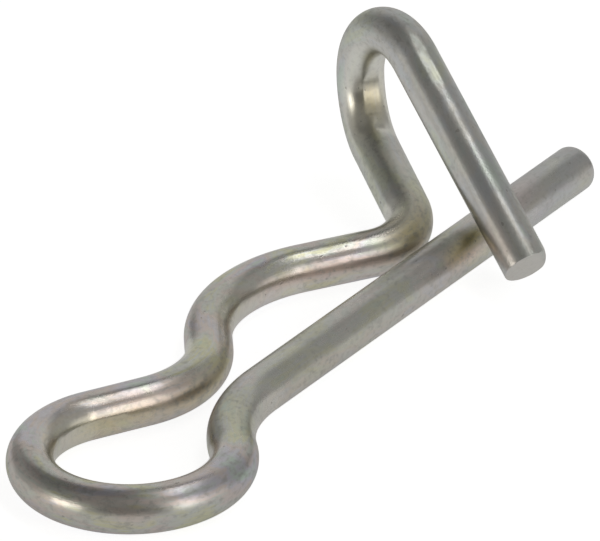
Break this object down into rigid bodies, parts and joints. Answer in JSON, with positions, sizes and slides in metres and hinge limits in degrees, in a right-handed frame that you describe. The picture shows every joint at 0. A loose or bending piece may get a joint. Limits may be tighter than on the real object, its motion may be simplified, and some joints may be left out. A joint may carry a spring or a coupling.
{
  "type": "r clip pin",
  "caption": "R-shaped spring wire hitch clip: straight leg, finger loop, humped leg for a round shaft, and a locking hook turned back over the leg.",
  "frame": {"origin": "on the straight leg's axis, at the centre of the shaft that the hump clips over", "axes": "+X along the straight leg to its tip, +Y to the humped leg, +Z to the hook; the loop, leg and hump lie flat in XY"},
  "size_m": [0.0721, 0.0271, 0.0173],
  "materials": {
    "wire": "satin zinc plate on drawn spring wire"
  },
  "bodies": {
    "root": {"r_clip": "wire"}
  },
  "joints": []
}
